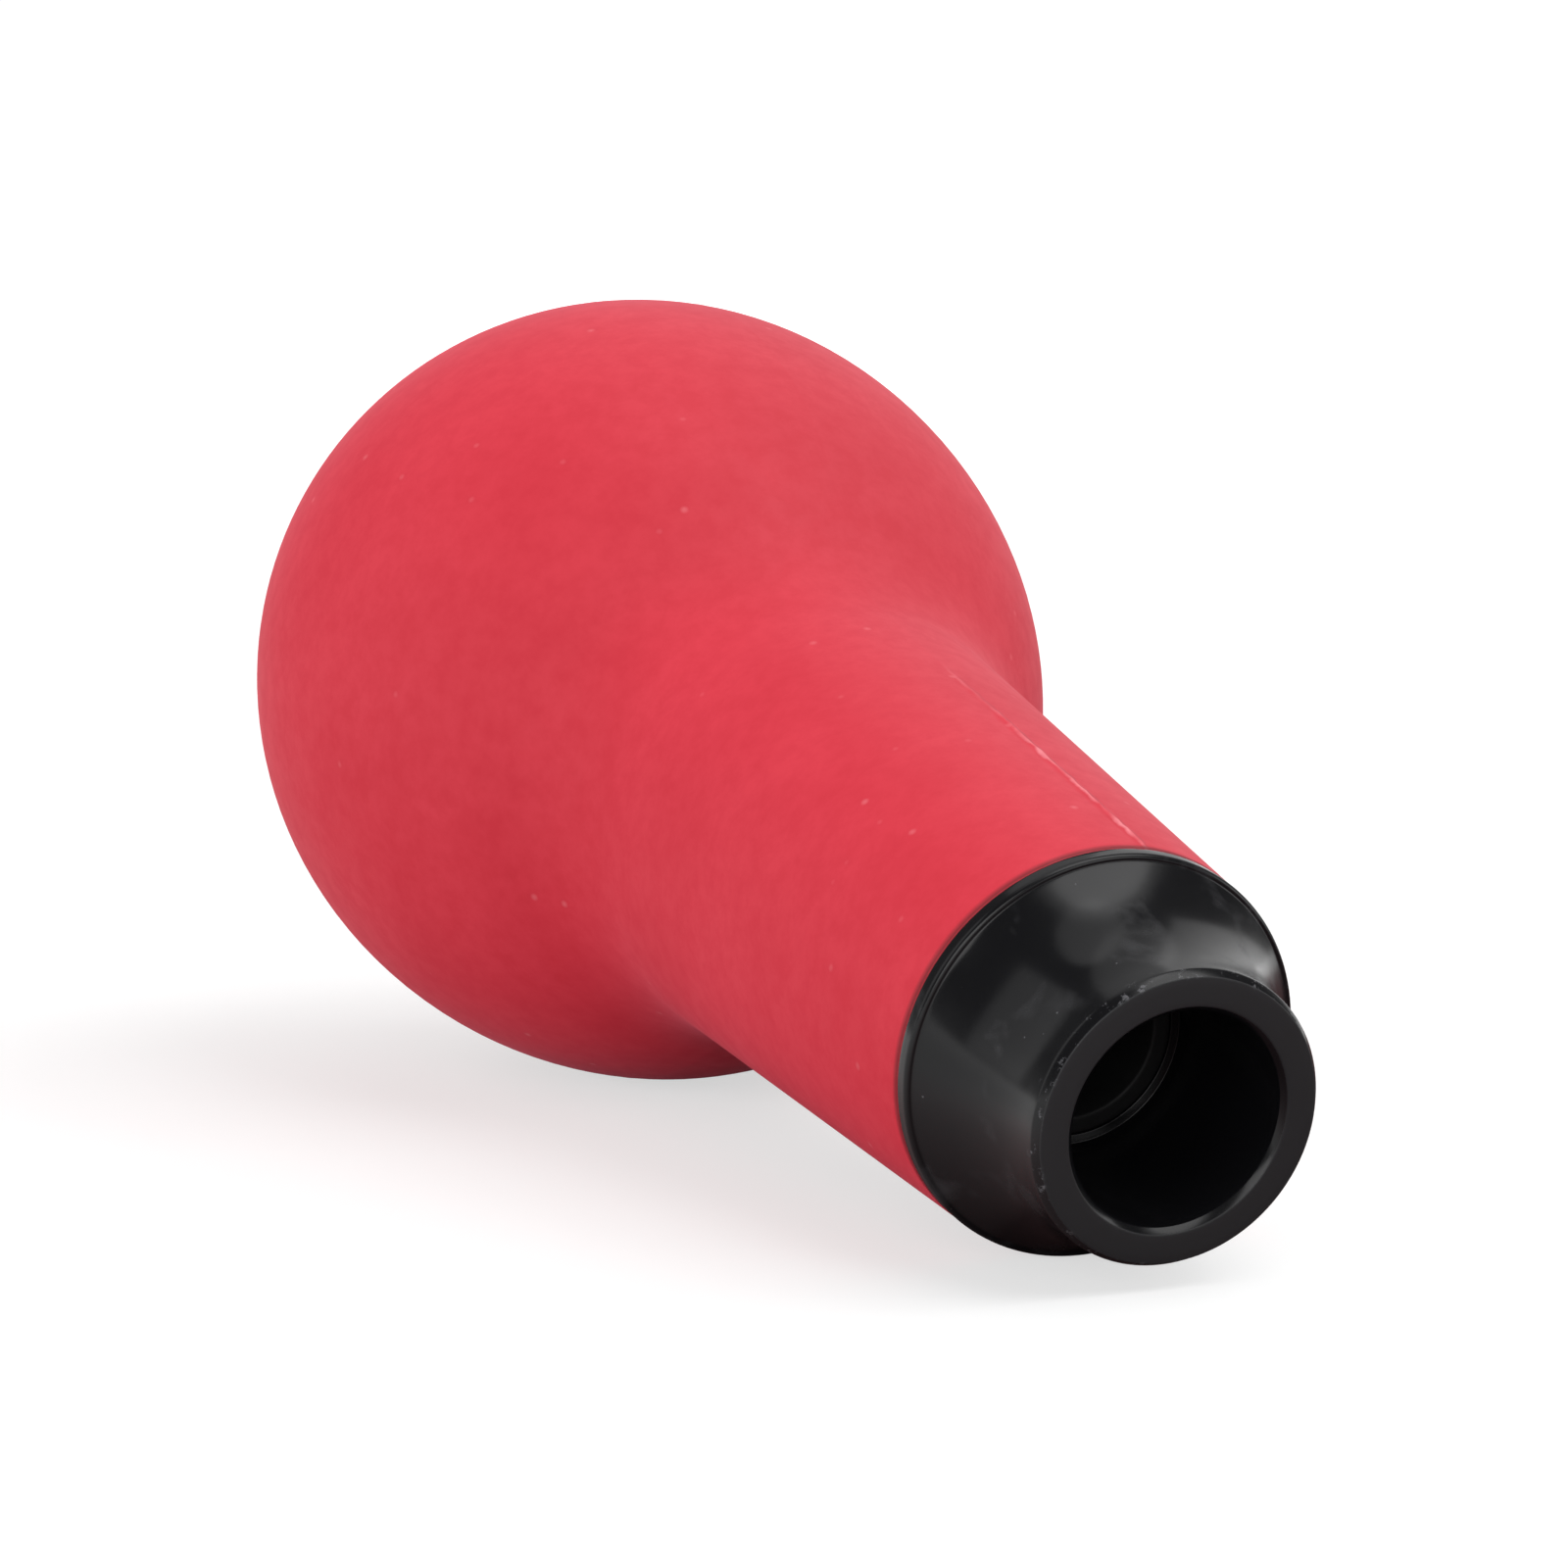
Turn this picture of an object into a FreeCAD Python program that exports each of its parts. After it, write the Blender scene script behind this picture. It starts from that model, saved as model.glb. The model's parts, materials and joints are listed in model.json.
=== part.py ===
import FreeCAD, Part
import math
import os

# Pipette filler bulb, in millimetres and degrees: a hollow rubber ball with a
# tapered neck, a hard plastic nose adapter that is pushed into the neck, and a
# soft seal that is pushed into the nose from its mouth and grips the pipette.
#
# Each piece is drawn upright on its own axis first: x is the radius and y is
# the station, the distance back from the mouth face. The finished pieces are
# then tilted and set down, so that the object lies on its ball and on the
# adapter's rim, mouth towards -Y, with the floor at z = 0.

# --- Rubber bulb -------------------------------------------------------------
bulb_length = 100.2          # neck end to rear pole
ball_diameter = 54.0
ball_front_stretch = 5.2     # the ball is longer than round by this, neck side
ball_rear_stretch = 2.4      # and by this on the far side of its widest ring
neck_taper = 3.55            # half-angle of the neck's cone
shoulder_radius = 15.0       # concave blend of the neck into the ball
wall = 3.0
neck_edge_radius = 0.25
socket_diameter = 20.0       # straight bore that holds the adapter's spigot
seam_width = 0.5             # flash left where the two halves of the mould meet
seam_height = 0.12
seam_angle = 10.0            # from straight up, towards +X

# --- Nose adapter ------------------------------------------------------------
nose_length = 11.3           # mouth face to the back of the rim
tube_diameter = 18.8
tube_straight = 1.6          # mouth face to the start of the flare
face_edge_radial = 0.35      # bevel on the outer edge of the mouth face
face_edge_length = 0.6
bore_diameter = 13.7
bore_depth = 13.25
mouth_chamfer = 0.4
rim_width = 1.1
rim_step = 0.4               # the rim stands this much proud of the flare
rim_edge_radius = 0.3
spigot_length = 18.0
barb_count = 3
barb_length = 3.6
barb_height = 0.35
passage_diameter = 7.0       # air passage through the spigot

# --- Soft seal ---------------------------------------------------------------
seal_ledge = 0.59            # shoulder round the seal, so that it can leave by the bore
seal_length = 7.0
seal_face = 1.1              # flat ring between the seal's edge and its funnel
throat_diameter = 5.5        # narrow end of the funnel, which grips the pipette
throat_length = 1.5
seal_edge_radius = 0.3

# --- Fits --------------------------------------------------------------------
slide_clearance = 0.06       # radial, where one piece is pushed into another
face_gap = 0.05              # between faces that meet end to end

# --- Sizes that follow from those above --------------------------------------
ball_radius = ball_diameter / 2
ball_front_length = ball_radius + ball_front_stretch
ball_rear_length = ball_radius + ball_rear_stretch
rim_radius = socket_diameter / 2 + wall
tube_radius = tube_diameter / 2
bore_radius = bore_diameter / 2
neck_station = nose_length + face_gap
rear_station = neck_station + bulb_length
ball_station = rear_station - ball_rear_length
spigot_station = nose_length + spigot_length
socket_station = spigot_station + face_gap
pocket_radius = bore_radius - seal_ledge
seal_radius = pocket_radius - slide_clearance
funnel_radius = seal_radius - seal_face
seal_station = bore_depth + seal_length
pocket_station = seal_station + face_gap


def point(radius, station):
    """A point of a profile, in the half-plane that is turned about the axis."""
    return FreeCAD.Vector(radius, station, 0)


def line(start, end):
    return Part.LineSegment(point(*start), point(*end)).toShape()


def polyline(points):
    return [line(start, end) for start, end in zip(points, points[1:])]


def turned(edges):
    """The solid that a closed profile sweeps about the axis."""
    wire = Part.Wire(Part.__sortEdges__(edges))
    axis = FreeCAD.Vector(0, 1, 0)
    return Part.Face(wire).revolve(point(0, 0), axis, 360)


def circle_edges(shape, station):
    """The round edges that lie across the axis at a station."""
    return [edge for edge in shape.Edges
            if edge.BoundBox.XLength > 1 and edge.BoundBox.YLength < 0.01
            and abs(edge.BoundBox.YMin - station) < 0.01]


def ellipse_arc(radius, length, station, side, last_turn):
    """The arc from the widest ring towards the pole; side is +1 or -1.

    last_turn is a right angle for an arc that ends at the pole.
    """
    centre = point(0, station)
    along = point(0, side * length)
    across = point(radius, 0)
    curve = Part.Ellipse(centre + along, centre + across, centre)
    start = curve.parameter(centre + across)
    end = curve.parameter(centre + across * math.cos(last_turn)
                          + along * math.sin(last_turn))
    if (end - start) % (2 * math.pi) > math.pi:
        start, end = end, start
    return Part.ArcOfEllipse(curve, start, end).toShape()


def shoulder(neck_radius, slope, ball, length, blend):
    """The arc of radius blend that joins the neck's cone to the ball's front.

    Gives its end on the neck, its middle, its end on the ball, and the turn
    on the ball's ellipse at which it ends.
    """
    cosine = 1 / math.hypot(1, slope)
    low, high = 0.0, math.pi / 2
    while high - low > 1e-10:
        turn = (low + high) / 2
        normal = (length * math.cos(turn), -ball * math.sin(turn))
        scale = blend / math.hypot(*normal)
        on_ball = (ball * math.cos(turn), ball_station - length * math.sin(turn))
        centre = (on_ball[0] + scale * normal[0], on_ball[1] + scale * normal[1])
        cone_radius = neck_radius + (centre[1] - neck_station) * slope
        if (centre[0] - cone_radius) * cosine > blend:
            low = turn
        else:
            high = turn
    on_neck = (centre[0] - blend * cosine, centre[1] + blend * cosine * slope)
    inward = (on_ball[0] + on_neck[0] - 2 * centre[0],
              on_ball[1] + on_neck[1] - 2 * centre[1])
    scale = blend / math.hypot(*inward)
    middle = (centre[0] + scale * inward[0], centre[1] + scale * inward[1])
    return on_neck, middle, on_ball, turn


def bulb_form(inset, start_station):
    """Neck and ball from start_station back, every surface moved in by inset."""
    slope = math.tan(math.radians(neck_taper))
    neck_radius = rim_radius - inset * math.hypot(1, slope)
    start_radius = neck_radius + (start_station - neck_station) * slope
    ball = ball_radius - inset
    front = ball_front_length - inset
    rear = ball_rear_length - inset
    on_neck, middle, on_ball, turn = shoulder(neck_radius, slope, ball, front,
                                              shoulder_radius + inset)
    blend = Part.Arc(point(*on_neck), point(*middle), point(*on_ball)).toShape()
    edges = polyline([(0, ball_station + rear), (0, start_station),
                      (start_radius, start_station), on_neck])
    edges += [blend, ellipse_arc(ball, front, ball_station, -1, turn),
              ellipse_arc(ball, rear, ball_station, 1, math.pi / 2)]
    return turned(edges)


def rubber_bulb():
    """One moulding: ball, neck, seam flash, and the socket for the spigot."""
    axis = FreeCAD.Vector(0, 1, 0)
    outside = bulb_form(0, neck_station)
    outside = outside.makeFillet(neck_edge_radius, circle_edges(outside, neck_station))
    seam_start = neck_station + neck_edge_radius
    slab = Part.makeBox(seam_width, bulb_length, 2 * ball_diameter,
                        FreeCAD.Vector(-seam_width / 2, seam_start, -ball_diameter))
    slab.rotate(point(0, 0), axis, seam_angle)
    seam = bulb_form(-seam_height, seam_start).common(slab)
    socket = Part.makeCylinder(socket_diameter / 2, socket_station - nose_length,
                               point(0, nose_length), axis)
    hollow = socket.fuse(bulb_form(wall, socket_station))
    return outside.fuse(seam).cut(hollow)


def barbs(outer_radius):
    """Outline of the spigot from the rim to its tip, in saw teeth."""
    root_radius = outer_radius - barb_height
    pitch = (spigot_length - barb_length / 2) / barb_count
    outline = [(root_radius, nose_length)]
    for number in range(barb_count):
        crest = nose_length + (number + 1) * pitch - barb_length
        outline += [(root_radius, crest), (outer_radius, crest),
                    (outer_radius, crest + barb_length / 4),
                    (root_radius, crest + barb_length)]
    return outline + [(root_radius, spigot_station)]


def nose_adapter():
    """Tube, flare, rim and barbed spigot, with a stepped bore right through."""
    flare_start = (tube_radius, tube_straight)
    flare_end = (rim_radius - rim_step, nose_length - rim_width)
    run = flare_end[1] - flare_start[1]
    rise = flare_end[0] - flare_start[0]
    flare_radius = (run ** 2 + rise ** 2) / (2 * rise)
    half_turn = math.asin(run / flare_radius) / 2
    flare_middle = (tube_radius + flare_radius * (1 - math.cos(half_turn)),
                    tube_straight + flare_radius * math.sin(half_turn))
    flare = Part.Arc(point(*flare_start), point(*flare_middle),
                     point(*flare_end)).toShape()
    front = polyline([(bore_radius, mouth_chamfer),
                      (bore_radius + mouth_chamfer, 0),
                      (tube_radius - face_edge_radial, 0),
                      (tube_radius, face_edge_length), flare_start])
    back = polyline([flare_end, (rim_radius, flare_end[1]), (rim_radius, nose_length)]
                    + barbs(socket_diameter / 2 - slide_clearance)
                    + [(passage_diameter / 2, spigot_station),
                       (passage_diameter / 2, pocket_station),
                       (pocket_radius, pocket_station), (pocket_radius, bore_depth),
                       (bore_radius, bore_depth), (bore_radius, mouth_chamfer)])
    solid = turned(front + [flare] + back)
    rim_front = [edge for edge in circle_edges(solid, flare_end[1])
                 if edge.BoundBox.XMax > rim_radius - rim_step / 2]
    return solid.makeFillet(rim_edge_radius, rim_front)


def soft_seal():
    """Thick ring with a tapered hole, seated in the pocket below the bore."""
    throat_radius = throat_diameter / 2
    outline = [(funnel_radius, bore_depth), (seal_radius, bore_depth),
               (seal_radius, seal_station), (throat_radius, seal_station),
               (throat_radius, seal_station - throat_length),
               (funnel_radius, bore_depth)]
    solid = turned(polyline(outline))
    lip = [edge for edge in circle_edges(solid, bore_depth)
           if edge.BoundBox.XMax < seal_radius - seal_face / 2]
    return solid.makeFillet(seal_edge_radius, lip)


def rest_tilt():
    """Tilt at which the ball and the rim's front edge touch one flat floor."""
    edge_station = nose_length - rim_width + rim_edge_radius
    edge_radius = rim_radius - rim_edge_radius
    low, high = 0.0, math.pi / 4
    while high - low > 1e-9:
        tilt = (low + high) / 2
        ball_drop = math.hypot(ball_front_length * math.sin(tilt),
                               ball_radius * math.cos(tilt))
        rim_drop = ((ball_station - edge_station) * math.sin(tilt)
                    + edge_radius * math.cos(tilt) + rim_edge_radius)
        if rim_drop < ball_drop:
            low = tilt
        else:
            high = tilt
    return tilt


def set_down(shape):
    """Lays a piece on the floor, centred in x and y under the whole object."""
    tilt = rest_tilt()
    ball_drop = math.hypot(ball_front_length * math.sin(tilt),
                           ball_radius * math.cos(tilt))
    rear_reach = (ball_station * math.cos(tilt)
                  + math.hypot(ball_rear_length * math.cos(tilt),
                               ball_radius * math.sin(tilt)))
    front_reach = (tube_radius - face_edge_radial) * math.sin(tilt)
    middle = (rear_reach - front_reach) / 2
    mouth_height = ball_drop - ball_station * math.sin(tilt)
    turn = FreeCAD.Rotation(FreeCAD.Vector(1, 0, 0), math.degrees(tilt))
    place = FreeCAD.Placement(FreeCAD.Vector(0, -middle, mouth_height), turn)
    placed = shape.copy()
    placed.Placement = place.multiply(shape.Placement)
    return placed


pieces = {
    "rubber_bulb": rubber_bulb(),
    "nose_adapter": nose_adapter(),
    "soft_seal": soft_seal(),
}
os.makedirs("parts", exist_ok=True)
for name, piece in pieces.items():
    set_down(piece).exportStep("parts/" + name + ".step")
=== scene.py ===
import json
import math

import bmesh
import bpy
from mathutils import Matrix, Vector


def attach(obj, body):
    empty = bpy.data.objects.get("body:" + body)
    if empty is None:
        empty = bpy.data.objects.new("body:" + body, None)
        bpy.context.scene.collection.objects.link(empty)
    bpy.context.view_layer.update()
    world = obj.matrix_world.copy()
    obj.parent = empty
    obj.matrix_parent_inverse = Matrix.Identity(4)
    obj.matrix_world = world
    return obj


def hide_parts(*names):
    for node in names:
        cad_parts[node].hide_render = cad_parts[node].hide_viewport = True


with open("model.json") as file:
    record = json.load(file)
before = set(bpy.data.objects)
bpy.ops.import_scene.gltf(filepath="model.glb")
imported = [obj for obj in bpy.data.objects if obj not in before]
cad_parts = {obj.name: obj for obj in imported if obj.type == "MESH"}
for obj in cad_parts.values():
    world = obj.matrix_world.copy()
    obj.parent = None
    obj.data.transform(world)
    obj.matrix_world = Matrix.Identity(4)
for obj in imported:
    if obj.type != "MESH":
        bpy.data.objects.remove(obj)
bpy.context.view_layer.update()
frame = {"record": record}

# Rubber bulb: the squeezed ball and its tapered neck, one thick moulding of red
# natural rubber. The mould closes on a plane through the axis, and leaves a thin
# line of flash there. The neck's socket is stretched over the nose's barbs.

# Sizes are in mm and turns in degrees. A station is how far a ring lies from the
# mouth's face, along the axis.
mm = 0.001
ball_station = 82.15            # the ball's widest ring
ball_radius = 27.0
ball_front = 32.2               # from the widest ring to the pole, neck side
ball_rear = 29.4
brim_turn = 89.2                # the last ring before the rear pole
shoulder_radius = 15.0          # of the hollow curve between ball and neck
neck_station = 11.35
neck_radius = 13.0
neck_taper = 3.55
neck_edge = 0.25                # rounding of the neck's end
wall = 3.0
socket_radius = 10.0
socket_edge = 0.2
socket_station = 29.35          # the socket's step
hollow_radius = 11.111          # where the hollow opens at that step

# Where the ball's curve runs into the shoulder's, outside and inside: the turn
# round the ball, the middle of the shoulder's curve, and the turn round that.
outer_shoulder = (45.378, (30.3968, 49.5193), 139.648)
inner_shoulder = (45.967, (30.3955, 49.4979), 139.63)


def arc(middle, across, along, start, end, steps):
    """Rings on an ellipse's quarter: the turn goes from start to end."""
    turns = [math.radians(start + (end - start) * step / steps)
             for step in range(steps + 1)]
    return [(middle[0] + across * math.cos(turn), middle[1] + along * math.sin(turn))
            for turn in turns]


def straight(start, end, steps):
    """Rings from start to end, both included."""
    return [(start[0] + (end[0] - start[0]) * step / steps,
             start[1] + (end[1] - start[1]) * step / steps)
            for step in range(steps + 1)]


def ball_and_shoulder(inset, shoulder, steps):
    """Rings from the rear pole's brim over the ball and down to the neck."""
    ball_turn, middle, shoulder_turn = shoulder
    widest = (0, ball_station)
    return (arc(widest, ball_radius - inset, ball_rear - inset, brim_turn, 0, 44)[:-1]
            + arc(widest, ball_radius - inset, inset - ball_front, 0, ball_turn, 24)
            + arc(middle, shoulder_radius + inset, shoulder_radius + inset,
                  shoulder_turn, 180 - neck_taper, steps)[1:])


outside = ball_and_shoulder(0, outer_shoulder, 16)
neck_rise = neck_edge * math.tan(math.radians(neck_taper))
outside += straight(outside[-1], (neck_radius + neck_rise, neck_station + neck_edge),
                    60)[1:]
outside += arc((neck_radius - neck_edge, neck_station + neck_edge), neck_edge,
               -neck_edge, 10, 90, 4)

# The inner skin: the neck's end, the straight socket, its step, and the hollow.
inside = straight((neck_radius - neck_edge, neck_station),
                  (socket_radius + socket_edge, neck_station), 3)
inside += straight((socket_radius, neck_station + socket_edge),
                   (socket_radius, socket_station), 8)
hollow = ball_and_shoulder(wall, inner_shoulder, 12)
hollow += straight(hollow[-1], (hollow_radius, socket_station), 8)[1:]
inside += hollow[::-1]

sides = 144                     # corners of every ring, enough for a smooth outline


def new_ring(name, ring):
    """A new object: one circle of the ring's radius at its station, in edit mode."""
    bpy.ops.object.select_all(action="DESELECT")
    bpy.ops.mesh.primitive_circle_add(vertices=sides, radius=ring[0] * mm)
    bpy.context.object.name = name
    bpy.context.object.data.name = name
    bpy.ops.object.mode_set(mode="EDIT")
    bpy.ops.mesh.select_all(action="SELECT")
    bpy.ops.transform.translate(value=(0, 0, ring[1] * mm))
    return bpy.context.object


def extrude_rings(rings):
    """Pulls the selected ring, which is the first, on to each of the others."""
    for (radius, station), (next_radius, next_station) in zip(rings, rings[1:]):
        step = (0, 0, (next_station - station) * mm)
        bpy.ops.mesh.extrude_region_move(TRANSFORM_OT_translate={"value": step})
        if next_radius != radius:
            grow = next_radius / radius
            bpy.ops.transform.resize(value=(grow, grow, 1),
                                     center_override=(0, 0, next_station * mm))


def select(kind, test):
    """Selects the corners or faces whose middle (x, y, z in mm) passes the test."""
    bpy.ops.mesh.select_all(action="DESELECT")
    bpy.ops.mesh.select_mode(type=kind)
    shape = bmesh.from_edit_mesh(bpy.context.object.data)
    for part in {"VERT": shape.verts, "FACE": shape.faces}[kind]:
        middle = part.co if kind == "VERT" else part.calc_center_median()
        if test(middle / mm):
            part.select_set(True)
    shape.select_flush_mode()
    bmesh.update_edit_mesh(bpy.context.object.data)


bulb = new_ring("rubber_bulb_moulding", outside[0])
extrude_rings(outside)

# The rear pole: the brim is doubled, and its copy drawn together into one corner.
brim_reach = 0.45
select("VERT", lambda at: at.z > ball_station + ball_rear - 1
       and math.hypot(at.x, at.y) < brim_reach)
bpy.ops.mesh.extrude_region_move(TRANSFORM_OT_translate={"value": (0, 0, 0)})
bpy.ops.mesh.merge(type="CENTER")

# The flash: two cuts each side of the mould's plane, then its crest is raised by
# 1.6 times the height and the cuts beside it by 0.6, most on the neck and least on
# the ball, where it was trimmed. A little of the height is left to chance.
flash_foot = 0.25               # from the mould's plane to each outer cut
flash_crest = 0.12              # and to each inner cut
flash_heights = ((12, 33, 0.1), (33, 40, 0.03), (40, 112, 0.005))
flash_gap = 3.0                 # the flash stops this far from the rear pole
near_plane = 3.0                # only faces this near the plane are cut,
off_pole = 2.5                  # and none this close to the pole
for offset in (-flash_foot, -flash_crest, flash_crest, flash_foot):
    select("FACE", lambda at: abs(at.x) < near_plane
           and math.hypot(at.x, at.y) > off_pole)
    bpy.ops.mesh.bisect(plane_co=(offset * mm, 0, 0), plane_no=(1, 0, 0),
                        threshold=0.0005 * mm)
for low, high, height in flash_heights:
    for half_width, share in ((0.01, 1.0), (flash_crest + 0.02, 0.6)):
        select("VERT", lambda at: abs(at.x) < half_width and low < at.z <= high
               and abs(at.y) > flash_gap)
        bpy.ops.transform.shrink_fatten(value=height * share * mm)
    select("VERT", lambda at: abs(at.x) < half_width and low < at.z <= high
           and abs(at.y) > flash_gap)
    bpy.ops.transform.vertex_random(offset=0.5 * height * mm, uniform=0.2, normal=0.4,
                                    seed=7)

# From the neck's end inwards to the hollow's rear, where the last ring is closed.
select("VERT", lambda at: at.z < neck_station + 0.01)
extrude_rings(inside)
bpy.ops.mesh.merge(type="CENTER")

# Every piece is turned about one axis, from the middle of the mouth's face
# inwards. It is modelled upright with that face at z = 0, then laid on this axis.
mounts = {mount["name"]: mount for mount in frame["record"]["mounts"]}
inward = -Vector(mounts["pipette_bore"]["axis"])
face_point = Vector(mounts["mouth_face"]["pos_m"])
mouth = Vector((0, face_point.y, face_point.z))
seam_turn = 10                  # of the mould's plane, from straight up
laid_down = (Matrix.Translation(mouth)
             @ Matrix.Rotation(-math.acos(inward.z), 4, "X")
             @ Matrix.Rotation(math.radians(seam_turn), 4, "Z"))

touching = 0.001                # corners this near each other are one
crease_turn = 40                # an edge turned more than this stays crisp


def close_skin():
    """Merges the corners that lie together, and turns every face outwards."""
    bpy.ops.mesh.select_mode(type="VERT")
    bpy.ops.mesh.select_all(action="SELECT")
    bpy.ops.mesh.remove_doubles(threshold=touching * mm)
    bpy.ops.mesh.normals_make_consistent(inside=False)


def lay_down(piece):
    """Closes the skin, lays the piece on the axis, and smooths all but its creases."""
    close_skin()
    bpy.ops.object.mode_set(mode="OBJECT")
    piece.matrix_world = laid_down
    bpy.ops.object.transform_apply(location=True, rotation=True, scale=True)
    bpy.ops.object.shade_smooth_by_angle(angle=math.radians(crease_turn))
    bpy.ops.object.modifier_add(type="WEIGHTED_NORMAL")
    bpy.ops.object.modifier_apply(modifier=piece.modifiers[-1].name)


lay_down(bulb)


def linear(colour):
    """The linear value of an sRGB hex colour, as Blender's sockets take it."""
    parts = [int(colour[place:place + 2], 16) / 255 for place in (1, 3, 5)]
    return tuple([part / 12.92 if part <= 0.04045 else ((part + 0.055) / 1.055) ** 2.4
                  for part in parts] + [1.0])


def add_node(tree, kind, inputs, **settings):
    """Adds a node, then its settings, then each input as a value or a link."""
    made = tree.nodes.new(kind)
    for name, value in settings.items():
        setattr(made, name, value)
    for name, value in inputs.items():
        if isinstance(value, bpy.types.NodeSocket):
            tree.links.new(value, made.inputs[name])
        else:
            made.inputs[name].default_value = value
    return made


def new_material(name):
    """An empty node material and its tree."""
    material = bpy.data.materials.new(name)
    material.use_nodes = True
    material.node_tree.nodes.clear()
    return material, material.node_tree


def on_the_axis(tree):
    """A point's place, its place from the mouth, and its station, all in metres."""
    place = add_node(tree, "ShaderNodeTexCoord", {}).outputs["Object"]
    from_mouth = add_node(tree, "ShaderNodeVectorMath", {0: place, 1: mouth},
                          operation="SUBTRACT").outputs[0]
    station = add_node(tree, "ShaderNodeVectorMath", {0: from_mouth, 1: inward},
                       operation="DOT_PRODUCT").outputs["Value"]
    return place, from_mouth, station


def scattered_specks(tree, place, spacing, solid, edge, strength, share_bare):
    """Round specks in some cells of this spacing: solid out to one radius in mm,
    and faded away at the other. No speck lies in the cells of the bare share."""
    cells = add_node(tree, "ShaderNodeTexVoronoi",
                     {"Vector": place, "Scale": 1 / (spacing * mm)}).outputs
    near = add_node(tree, "ShaderNodeMapRange",
                    {"Value": cells["Distance"], "From Min": solid / spacing,
                     "From Max": edge / spacing, "To Min": strength,
                     "To Max": 0.0}).outputs[0]
    chosen = add_node(tree, "ShaderNodeMath", {0: cells["Color"], 1: share_bare},
                      operation="GREATER_THAN").outputs[0]
    return add_node(tree, "ShaderNodeMath", {0: near, 1: chosen},
                    operation="MULTIPLY").outputs[0]


# Natural rubber, pressed in a blasted steel mould and dusted with talc when it
# comes out: dull all over, a little paler where the eye grazes it, faintly
# mottled, with a few pale specks, a painted highlight and a painted shadow along
# the line of flash, and painted shade in the joint with the rim.
red_rubber, tree = new_material("red_natural_rubber_moulded")
place, from_mouth, station = on_the_axis(tree)

clouds = add_node(tree, "ShaderNodeTexNoise",
                  {"Vector": place, "Scale": 1 / (11 * mm), "Detail": 3.0,
                   "Roughness": 0.55}).outputs["Fac"]        # clouds 11 mm across
clouds = add_node(tree, "ShaderNodeMapRange",
                  {"Value": clouds, "From Min": 0.35, "From Max": 0.65}).outputs[0]
mottle = add_node(tree, "ShaderNodeTexNoise",
                  {"Vector": place, "Scale": 1 / (1.6 * mm), "Detail": 4.0,
                   "Roughness": 0.65}).outputs["Fac"]        # mottle of 1.6 mm
mottled = add_node(tree, "ShaderNodeMapRange",
                   {"Value": mottle, "From Min": 0.36, "From Max": 0.64,
                    "To Max": 0.34}).outputs[0]

# Specks of talc, 0.2 to 0.6 mm across where the skin cuts them.
talc = scattered_specks(tree, place, spacing=2.6, solid=0.078, edge=0.338,
                        strength=0.3, share_bare=0.62)

# The flash's ridge gets a painted highlight, in patches of 3.5 mm, along the
# neck, with a painted shadow line 0.3 mm to one side, under its lip. Both wander
# by 0.13 mm, as the mould's worn edge does.
seam_normal = (laid_down.to_3x3() @ Vector((1, 0, 0))).normalized()
off_seam = add_node(tree, "ShaderNodeVectorMath", {0: from_mouth, 1: seam_normal},
                    operation="DOT_PRODUCT").outputs["Value"]
wander = add_node(tree, "ShaderNodeTexNoise",
                  {"Vector": place, "Scale": 1 / (1.8 * mm), "Detail": 3.0}).outputs["Fac"]
wander = add_node(tree, "ShaderNodeMapRange",
                  {"Value": wander, "From Min": 0.3, "From Max": 0.7,
                   "To Min": -0.13 * mm, "To Max": 0.13 * mm}).outputs[0]
off_seam = add_node(tree, "ShaderNodeMath", {0: off_seam, 1: wander},
                    operation="ADD").outputs[0]
off_lip = add_node(tree, "ShaderNodeMath", {0: off_seam, 1: -0.3 * mm},
                   operation="ADD").outputs[0]
off_lip = add_node(tree, "ShaderNodeMath", {0: off_lip}, operation="ABSOLUTE").outputs[0]
off_seam = add_node(tree, "ShaderNodeMath", {0: off_seam}, operation="ABSOLUTE").outputs[0]
on_neck = add_node(tree, "ShaderNodeMapRange",
                   {"Value": station, "From Min": 31 * mm, "From Max": 42 * mm,
                    "To Min": 1.0, "To Max": 0.0}).outputs[0]
on_seam = add_node(tree, "ShaderNodeMapRange",
                   {"Value": off_seam, "From Min": 0.05 * mm, "From Max": 0.2 * mm,
                    "To Min": 1.0, "To Max": 0.0}).outputs[0]
highlight_patches = add_node(tree, "ShaderNodeTexNoise",
                  {"Vector": place, "Scale": 1 / (3.5 * mm), "Detail": 4.0}).outputs["Fac"]
highlight_patches = add_node(tree, "ShaderNodeMapRange",
                  {"Value": highlight_patches, "From Min": 0.38, "From Max": 0.62,
                   "To Min": 0.15, "To Max": 0.85}).outputs[0]
flash_painted_highlight = add_node(tree, "ShaderNodeMath", {0: on_seam, 1: on_neck},
                 operation="MULTIPLY").outputs[0]
flash_painted_highlight = add_node(tree, "ShaderNodeMath", {0: flash_painted_highlight, 1: highlight_patches},
                 operation="MULTIPLY").outputs[0]
lip_painted_shadow = add_node(tree, "ShaderNodeMapRange",
                     {"Value": off_lip, "From Min": 0.04 * mm, "From Max": 0.16 * mm,
                      "To Min": 0.4, "To Max": 0.0}).outputs[0]
lip_painted_shadow = add_node(tree, "ShaderNodeMath", {0: lip_painted_shadow, 1: on_neck},
                     operation="MULTIPLY").outputs[0]

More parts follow.
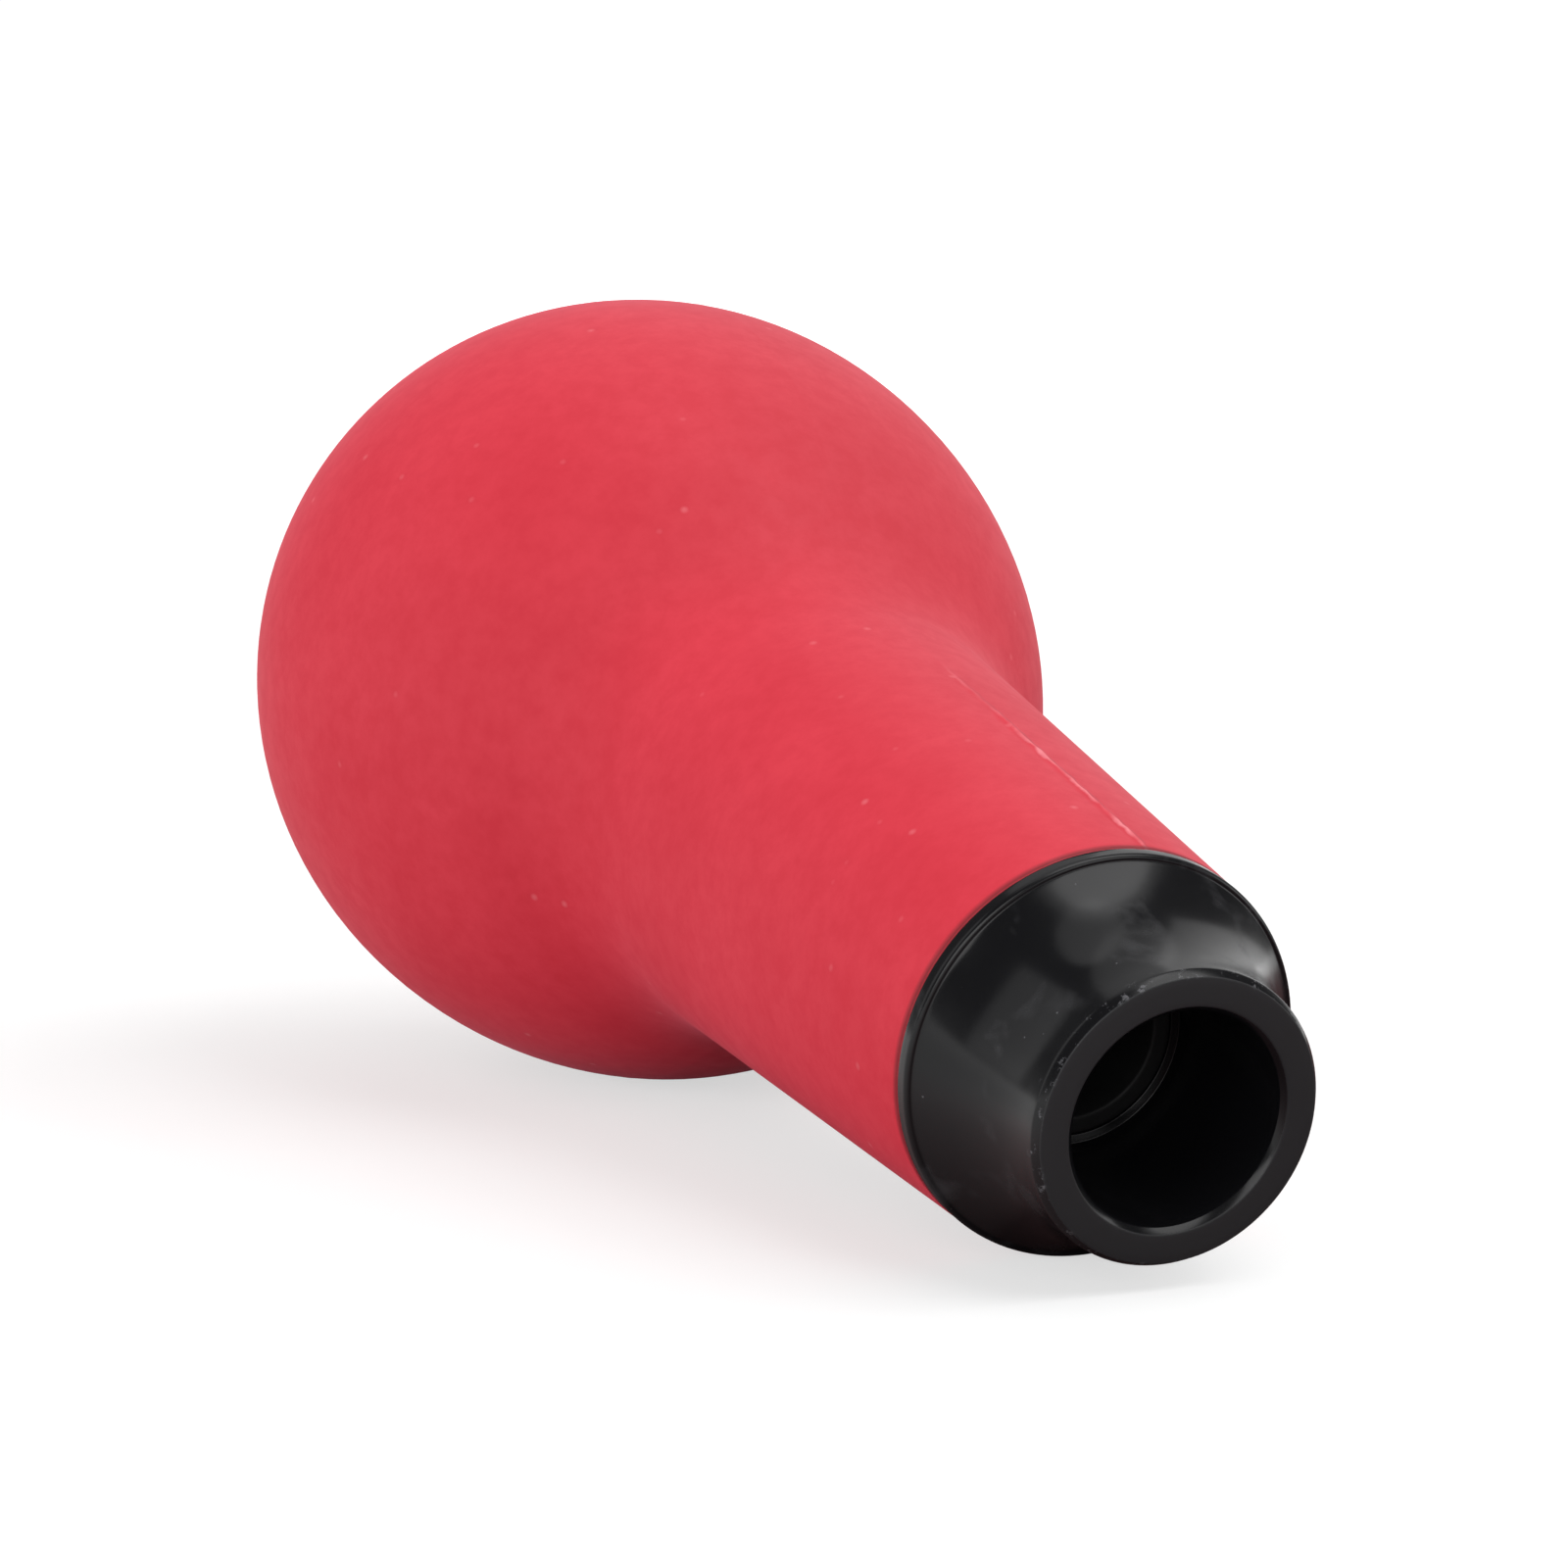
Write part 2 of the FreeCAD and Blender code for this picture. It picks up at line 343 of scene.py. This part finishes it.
# Painted shade in the joint with the nose's rim, on the neck's last 0.6 mm, but
# not on the flat end that the rim covers.
on_edge = neck_station + 0.15
rim_joint_painted_shade = add_node(tree, "ShaderNodeMapRange",
                 {"Value": station, "From Min": on_edge * mm,
                  "From Max": (neck_station + 0.6) * mm,
                  "To Min": 0.9, "To Max": 0.0}).outputs[0]
rim_joint_painted_shade = add_node(tree, "ShaderNodeMapRange",
                 {"Value": station, "From Min": (neck_station + 0.01) * mm,
                  "From Max": on_edge * mm, "To Max": rim_joint_painted_shade}).outputs[0]

# Layers: clouds, mottle and talc are the rubber's own; then a painted highlight on the
# flash, a painted shadow under its lip, and painted shade in the rim's joint.
colour = linear("#d4293c")
for cover, shade in ((clouds, "#da3244"), (mottled, "#ca2034"), (talc, "#f2949c"),
                     (flash_painted_highlight, "#f08d95"), (lip_painted_shadow, "#b02236"), (rim_joint_painted_shade, "#780f1c")):
    colour = add_node(tree, "ShaderNodeMix", {0: cover, 6: colour, 7: linear(shade)},
                      data_type="RGBA").outputs[2]

# The mould's blasted skin: a grain of 0.35 mm, coarser than the real 0.1 mm so
# that it shows, over slow waves of 5 mm.
grain = add_node(tree, "ShaderNodeTexNoise",
                 {"Vector": place, "Scale": 1 / (0.35 * mm), "Detail": 2.0}).outputs["Fac"]
skin = add_node(tree, "ShaderNodeBump",
                {"Height": grain, "Strength": 0.12, "Distance": 0.05 * mm}).outputs[0]
waves = add_node(tree, "ShaderNodeTexNoise",
                 {"Vector": place, "Scale": 1 / (5 * mm), "Detail": 2.0}).outputs["Fac"]
skin = add_node(tree, "ShaderNodeBump",
                {"Height": waves, "Normal": skin, "Strength": 0.04,
                 "Distance": 0.2 * mm}).outputs[0]
roughness = add_node(tree, "ShaderNodeMapRange",
                     {"Value": mottle, "From Min": 0.36, "From Max": 0.64,
                      "To Min": 0.66, "To Max": 0.74}).outputs[0]
shader = add_node(tree, "ShaderNodeBsdfPrincipled",
                  {"Base Color": colour, "Roughness": roughness, "Normal": skin,
                   "IOR": 1.52, "Specular IOR Level": 0.56, "Diffuse Roughness": 0.6,
                   "Sheen Weight": 0.08, "Sheen Roughness": 0.4,
                   "Sheen Tint": linear("#f4dcf4")})
add_node(tree, "ShaderNodeOutputMaterial", {"Surface": shader.outputs[0]})

bulb.data.materials.append(red_rubber)
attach(bulb, "bulb")
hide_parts("rubber_bulb")

# Nose adapter: a glossy black plastic nozzle. Its barbed spigot is pushed into
# the neck up to the rim, and its bore takes the pipette. It is moulded in a
# polished steel mould, and its edges are slightly broken.

bore_radius = 6.85
bore_depth = 13.25
bore_chamfer = 0.4
tube_radius = 9.4               # the end tube, straight up to the flare
tube_length = 1.6
chamfer_width = 0.35            # of the tube's outer edge
chamfer_depth = 0.6
flare_radius = 13.156           # of the flare's hollow curve
rim_front = 10.2
rim_back = 11.3
rim_radius = 13.0
rim_edge = 0.3
spigot_radius = 9.94            # over the barbs
spigot_end = 29.3
barb_height = 0.35
barb_stations = (13.1, 18.5, 23.9)
barb_flat = 0.9                 # the crest's length
barb_length = 3.6               # from the crest's start to the slope's foot
pocket_radius = 6.26            # the seal's pocket
pocket_end = 20.3
passage_radius = 3.5            # the air passage behind it

nose_rings = straight((bore_radius, bore_depth), (bore_radius, bore_chamfer), 12)
nose_rings += straight((bore_radius + bore_chamfer, 0),
                       (tube_radius - chamfer_width, 0), 3)
nose_rings += [(tube_radius, chamfer_depth), (tube_radius, 0.85), (tube_radius, 1.35)]
flare_turn = math.degrees(math.asin((rim_front - tube_length) / flare_radius))
nose_rings += arc((tube_radius + flare_radius, tube_length), -flare_radius,
                  flare_radius, 0, flare_turn, 30)
nose_rings += arc((rim_radius - rim_edge, rim_front + rim_edge), rim_edge, -rim_edge,
                  90, 0, 5)
nose_rings += straight((rim_radius, rim_front + 1.5 * rim_edge),
                       (rim_radius, rim_back), 2)
root_radius = spigot_radius - barb_height
nose_rings += [(root_radius, rim_back)]
for crest in barb_stations:
    nose_rings += [(root_radius, crest), (spigot_radius, crest),
                   (spigot_radius, crest + barb_flat), (root_radius, crest + barb_length)]
nose_rings += [(root_radius, spigot_end), (passage_radius, spigot_end),
               (passage_radius, pocket_end), (pocket_radius, pocket_end),
               (pocket_radius, bore_depth), (bore_radius, bore_depth)]

sharp_turn = 24                 # an edge turned more than this is broken


def break_edges(width, steps):
    """Rounds every sharp edge of the closed skin over this width."""
    close_skin()
    bpy.ops.mesh.select_mode(type="EDGE")
    bpy.ops.mesh.select_all(action="DESELECT")
    bpy.ops.mesh.edges_select_sharp(sharpness=math.radians(sharp_turn))
    bpy.ops.mesh.bevel(offset=width * mm, segments=steps, affect="EDGES")


nose = new_ring("nose_adapter_moulding", nose_rings[0])
extrude_rings(nose_rings)
break_edges(width=0.07, steps=3)
lay_down(nose)

# Black polypropylene from a polished mould: a deep gloss, hazed by handling, with
# smears and dust on the flare, a matt end painted a shade paler as a painted
# reflection, and pale scuffs where the mouth's edge has knocked against glass and
# bench.
black_plastic, tree = new_material("black_polypropylene_polished_mould")
place, from_mouth, station = on_the_axis(tree)
along = add_node(tree, "ShaderNodeVectorMath", {0: inward, "Scale": station},
                 operation="SCALE").outputs[0]
off_axis = add_node(tree, "ShaderNodeVectorMath", {0: from_mouth, 1: along},
                    operation="DISTANCE").outputs["Value"]

# Haze in patches of 4 mm, and a ripple with it that bends the gloss a little.
haze = add_node(tree, "ShaderNodeTexNoise",
                {"Vector": place, "Scale": 1 / (4 * mm), "Detail": 4.0,
                 "Roughness": 0.6}).outputs["Fac"]

# Scuffs of 0.8 mm and less, only on the tube's outer edge.
scuff = add_node(tree, "ShaderNodeTexNoise",
                 {"Vector": place, "Scale": 1 / (0.8 * mm), "Detail": 5.0,
                  "Roughness": 0.7}).outputs["Fac"]
scuff = add_node(tree, "ShaderNodeMapRange",
                 {"Value": scuff, "From Min": 0.56, "From Max": 0.68}).outputs[0]
near_face = add_node(tree, "ShaderNodeMapRange",
                     {"Value": station, "From Min": 0.3 * mm, "From Max": 1.2 * mm,
                      "To Min": 1.0, "To Max": 0.0}).outputs[0]
near_edge = add_node(tree, "ShaderNodeMapRange",
                     {"Value": off_axis, "From Min": (tube_radius - 0.5) * mm,
                      "From Max": (tube_radius - 0.25) * mm}).outputs[0]
knocked = add_node(tree, "ShaderNodeMath", {0: near_face, 1: near_edge},
                   operation="MULTIPLY").outputs[0]
scuff = add_node(tree, "ShaderNodeMath", {0: scuff, 1: knocked},
                 operation="MULTIPLY").outputs[0]

# Fingers leave greasy smears 4 mm across on the flare, and dust of 0.1 to 0.2 mm
# sticks to it.
behind_edge = add_node(tree, "ShaderNodeMapRange",
                       {"Value": station, "From Min": 0.7 * mm,
                        "From Max": tube_length * mm}).outputs[0]
on_flare = add_node(tree, "ShaderNodeMapRange",
                    {"Value": off_axis, "From Min": (tube_radius - 0.2) * mm,
                     "From Max": (tube_radius + 0.1) * mm}).outputs[0]
on_flare = add_node(tree, "ShaderNodeMath", {0: on_flare, 1: behind_edge},
                    operation="MULTIPLY").outputs[0]
smear = add_node(tree, "ShaderNodeTexNoise",
                 {"Vector": place, "Scale": 1 / (4 * mm), "Detail": 3.0,
                  "Roughness": 0.6, "Distortion": 0.3}).outputs["Fac"]
smear = add_node(tree, "ShaderNodeMapRange",
                 {"Value": smear, "From Min": 0.55, "From Max": 0.75}).outputs[0]
smear = add_node(tree, "ShaderNodeMath", {0: smear, 1: on_flare},
                 operation="MULTIPLY").outputs[0]
dust = scattered_specks(tree, place, spacing=1.3, solid=0.039, edge=0.091,
                        strength=0.45, share_bare=0.6)
dust = add_node(tree, "ShaderNodeMath", {0: dust, 1: on_flare},
                operation="MULTIPLY").outputs[0]
handled = add_node(tree, "ShaderNodeMath", {0: smear, 1: 0.12, 2: dust},
                   operation="MULTIPLY_ADD", use_clamp=True).outputs[0]

# The flat end is formed by the mould's blasted core and is matt; its shade paler colour is
# a painted reflection of the floor in front of it.
flat_end_matt_and_painted_reflection = add_node(tree, "ShaderNodeMapRange",
                    {"Value": station, "From Min": 0.02 * mm, "From Max": 0.1 * mm,
                     "To Min": 0.52, "To Max": 0.0}).outputs[0]

# Layers: pale scuffs, smears and dust, and the end's painted reflection.
colour = linear("#101012")
for cover, shade in ((scuff, "#6a6a6e"), (handled, "#77777b"), (flat_end_matt_and_painted_reflection, "#353638")):
    colour = add_node(tree, "ShaderNodeMix", {0: cover, 6: colour, 7: linear(shade)},
                      data_type="RGBA").outputs[2]
roughness = add_node(tree, "ShaderNodeMapRange",
                     {"Value": haze, "From Min": 0.3, "From Max": 0.7,
                      "To Min": 0.15, "To Max": 0.23}).outputs[0]
for cover, dulled in ((scuff, 0.35), (smear, 0.15)):
    roughness = add_node(tree, "ShaderNodeMath", {0: cover, 1: dulled, 2: roughness},
                         operation="MULTIPLY_ADD").outputs[0]
roughness = add_node(tree, "ShaderNodeMath", {0: roughness, 1: flat_end_matt_and_painted_reflection},
                     operation="MAXIMUM").outputs[0]
ripples = add_node(tree, "ShaderNodeBump",
                   {"Height": haze, "Strength": 0.1, "Distance": 0.05 * mm}).outputs[0]
shader = add_node(tree, "ShaderNodeBsdfPrincipled",
                  {"Base Color": colour, "Roughness": roughness, "Normal": ripples,
                   "IOR": 1.49, "Specular IOR Level": 0.36})
add_node(tree, "ShaderNodeOutputMaterial", {"Surface": shader.outputs[0]})

nose.data.materials.append(black_plastic)
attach(nose, "nose")
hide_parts("nose_adapter")

# Soft seal: a thick ring of black rubber with a funnel, pushed into the pocket at
# the bore's end. The pipette's top is wedged into the funnel and held airtight.

seal_radius = 6.2
seal_end = 20.25
funnel_radius = 5.1
throat_radius = 2.75
throat_length = 1.5
seal_rings = straight((seal_radius, bore_depth), (funnel_radius, bore_depth), 3)
seal_rings += straight(seal_rings[-1], (throat_radius, seal_end - throat_length), 6)[1:]
seal_rings += [(throat_radius, seal_end), (seal_radius, seal_end),
               (seal_radius, bore_depth)]
seal = new_ring("soft_seal_moulding", seal_rings[0])
extrude_rings(seal_rings)
break_edges(width=0.15, steps=4)
lay_down(seal)

# Black nitrile rubber, moulded: satin, with a faint bloom of 1.5 mm, and duller
# than the plastic round it.
seal_rubber, tree = new_material("black_nitrile_rubber_satin")
place = add_node(tree, "ShaderNodeTexCoord", {}).outputs["Object"]
bloom = add_node(tree, "ShaderNodeTexNoise",
                 {"Vector": place, "Scale": 1 / (1.5 * mm), "Detail": 4.0}).outputs["Fac"]
colour = add_node(tree, "ShaderNodeMix",
                  {0: bloom, 6: linear("#09090a"), 7: linear("#121213")},
                  data_type="RGBA").outputs[2]
roughness = add_node(tree, "ShaderNodeMapRange",
                     {"Value": bloom, "To Min": 0.5, "To Max": 0.7}).outputs[0]
skin = add_node(tree, "ShaderNodeBump",
                {"Height": bloom, "Strength": 0.2, "Distance": 0.05 * mm}).outputs[0]
shader = add_node(tree, "ShaderNodeBsdfPrincipled",
                  {"Base Color": colour, "Roughness": roughness, "Normal": skin,
                   "IOR": 1.52, "Specular IOR Level": 0.3})
add_node(tree, "ShaderNodeOutputMaterial", {"Surface": shader.outputs[0]})

seal.data.materials.append(seal_rubber)
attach(seal, "seal")
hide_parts("soft_seal")

# Studio: a wide pale floor and large soft lamps at a plain level, as in a light
# tent. The floor shows white round the object's shadow. From under the object out
# to its right, in reflections and bounced light, it has a painted shadow, with a
# painted red glow beside the rubber, as of light bounced from it.
floor_size = 60                 # in metres, past what any view shows
bpy.ops.object.select_all(action="DESELECT")
bpy.ops.mesh.primitive_plane_add(size=floor_size)
floor = bpy.context.object
floor.name = "studio_floor"
floor_paint, tree = new_material("studio_floor_matt_white")
rays = add_node(tree, "ShaderNodeLightPath", {}).outputs
seen = add_node(tree, "ShaderNodeMath",
                {0: rays["Is Camera Ray"], 1: rays["Is Glossy Ray"]},
                operation="ADD").outputs[0]
seen = add_node(tree, "ShaderNodeMath",
                {0: seen, 1: rays["Is Transmission Ray"]},
                operation="ADD", use_clamp=True).outputs[0]

# How far a point is, in metres, from the middle of that oval of painted shadow,
# which is twice as long as it is wide.
oval_middle = (0.12, 0, 0)
oval_squeeze = (1, 0.5, 1)
spot = add_node(tree, "ShaderNodeTexCoord", {}).outputs["Object"]
spot = add_node(tree, "ShaderNodeVectorMath", {0: spot, 1: oval_squeeze},
                operation="MULTIPLY").outputs[0]
reach = add_node(tree, "ShaderNodeVectorMath", {0: spot, 1: oval_middle},
                 operation="DISTANCE").outputs["Value"]

# The floor's own glow: none in the oval, a painted shadow there, except as the
# camera sees it, and full far out, at the strength of 1 that shows white.
under = add_node(tree, "ShaderNodeMath", {0: rays["Is Camera Ray"], 1: 0.6},
                 operation="MULTIPLY").outputs[0]
lift = add_node(tree, "ShaderNodeMapRange",
                {"Value": reach, "From Min": 0.127, "From Max": 0.155,
                 "To Min": under, "To Max": 0.6}).outputs[0]
glow = add_node(tree, "ShaderNodeMapRange",
                {"Value": reach, "From Min": 0.2, "From Max": 0.42,
                 "To Min": lift, "To Max": 1.0}).outputs[0]

# Its paint, which takes the real shadow. The camera sees one white all over; other rays
# see it darker and redder near the object, a painted shadow.
clear = add_node(tree, "ShaderNodeMapRange",
                 {"Value": reach, "From Min": 0.125, "From Max": 0.17}).outputs[0]
ground_painted_shadow = add_node(tree, "ShaderNodeMix",
                  {0: clear, 6: linear("#664c4e"), 7: linear("#949494")},
                  data_type="RGBA").outputs[2]
paint = add_node(tree, "ShaderNodeMix",
                 {0: rays["Is Camera Ray"], 6: ground_painted_shadow, 7: linear("#b5b5b5")},
                 data_type="RGBA").outputs[2]
# Beside the rubber the glow is painted red for all but the camera, as light bounced from
# the rubber.
clear = add_node(tree, "ShaderNodeMath", {0: clear, 1: rays["Is Camera Ray"]},
                 operation="MAXIMUM").outputs[0]
glow_painted_red = add_node(tree, "ShaderNodeMix",
                {0: clear, 6: linear("#ffe2e3"), 7: linear("#ffffff")},
                data_type="RGBA").outputs[2]
white = add_node(tree, "ShaderNodeEmission",
                 {"Color": glow_painted_red, "Strength": glow}).outputs[0]
shaded = add_node(tree, "ShaderNodeBsdfDiffuse", {"Color": paint}).outputs[0]
white = add_node(tree, "ShaderNodeAddShader", {0: white, 1: shaded}).outputs[0]
bounce = add_node(tree, "ShaderNodeBsdfDiffuse", {"Color": ground_painted_shadow}).outputs[0]
look = add_node(tree, "ShaderNodeMixShader", {0: seen, 1: bounce, 2: white}).outputs[0]
add_node(tree, "ShaderNodeOutputMaterial", {"Surface": look})
floor.data.materials.append(floor_paint)

# The tent's cloth: a plain white, brighter near the floor than overhead.
world = bpy.data.worlds.new("light_tent")
bpy.context.scene.world = world
world.use_nodes = True
tree = world.node_tree
tree.nodes.clear()
toward = add_node(tree, "ShaderNodeTexCoord", {}).outputs["Generated"]
rise = add_node(tree, "ShaderNodeSeparateXYZ", {0: toward}).outputs[2]
level = add_node(tree, "ShaderNodeMapRange",
                 {"Value": rise, "From Min": 0.1, "From Max": 0.28,
                  "To Min": 0.23, "To Max": 0.1}).outputs[0]
dome = add_node(tree, "ShaderNodeBackground",
                {"Color": linear("#ffffff"), "Strength": level}).outputs[0]
add_node(tree, "ShaderNodeOutputWorld", {"Surface": dome})

lit_point = Vector((0, 0, 0.03))    # in the middle of the object


def soft_lamp(name, azimuth, elevation, width, height, radiance, distance=1.0,
              shown_in_gloss=True):
    """A soft lamp aimed at the object, as bright at any size as its radiance says.
    Azimuth 0 is in front of the mouth, and one as high as it is wide is round."""
    bpy.ops.object.light_add(type="AREA")
    lamp = bpy.context.object
    lamp.name = name
    lamp.data.shape = "ELLIPSE" if width == height else "RECTANGLE"
    lamp.data.size = width
    lamp.data.size_y = height
    lamp.data.energy = 4 * width * height * radiance
    side, rise = math.radians(azimuth), math.radians(elevation)
    away = Vector((math.sin(side) * math.cos(rise), -math.cos(side) * math.cos(rise),
                   math.sin(rise)))
    lamp.location = lit_point + distance * away
    lamp.rotation_euler = away.to_track_quat("Z", "Y").to_euler()
    lamp.visible_camera = False
    lamp.visible_glossy = shown_in_gloss


# The name, azimuth, elevation, width, height and radiance of each.
soft_lamp("key_dish", 32, 58, 0.8, 0.8, 1.2)
soft_lamp("key_halo", 32, 58, 1.05, 1.05, 0.34, distance=1.01)
soft_lamp("overhead_dish", -120, 87, 0.68, 0.68, 0.45)
soft_lamp("left_softbox", -112, 27, 0.85, 1.0, 0.5)
soft_lamp("front_softbox", -28, 14, 0.75, 0.5, 1.9)
soft_lamp("front_right_softbox", 20, 15, 0.5, 0.5, 0.9)
soft_lamp("right_softbox", 132, 22, 0.6, 1.0, 0.54)
soft_lamp("low_right_softbox", 68, 6, 0.4, 0.5, 1.6)
soft_lamp("low_right_fill", 75, 8, 0.5, 0.5, 1.1, shown_in_gloss=False)
soft_lamp("low_left_fill", -83, 9, 1.0, 0.45, 3.2, shown_in_gloss=False)
soft_lamp("rear_dish", 160, 58, 0.85, 0.85, 0.28)
soft_lamp("high_right_fill", 85, 45, 0.8, 0.8, 1.2, shown_in_gloss=False)
soft_lamp("rear_fill", 165, 18, 0.8, 0.6, 1.0, shown_in_gloss=False)

# The camera stands to the left in front of the mouth and looks a little down.
camera_place = (-0.15988, -0.35308, 0.07846)
camera_tilt = 81.95             # from straight down
camera_azimuth = -24.208
bpy.ops.object.camera_add(location=camera_place,
                          rotation=(math.radians(camera_tilt), 0,
                                    math.radians(camera_azimuth)))
camera = bpy.context.object
camera.data.lens = 135
camera.data.sensor_width = 36
bpy.context.scene.camera = camera
bpy.context.scene.view_settings.view_transform = "Standard"
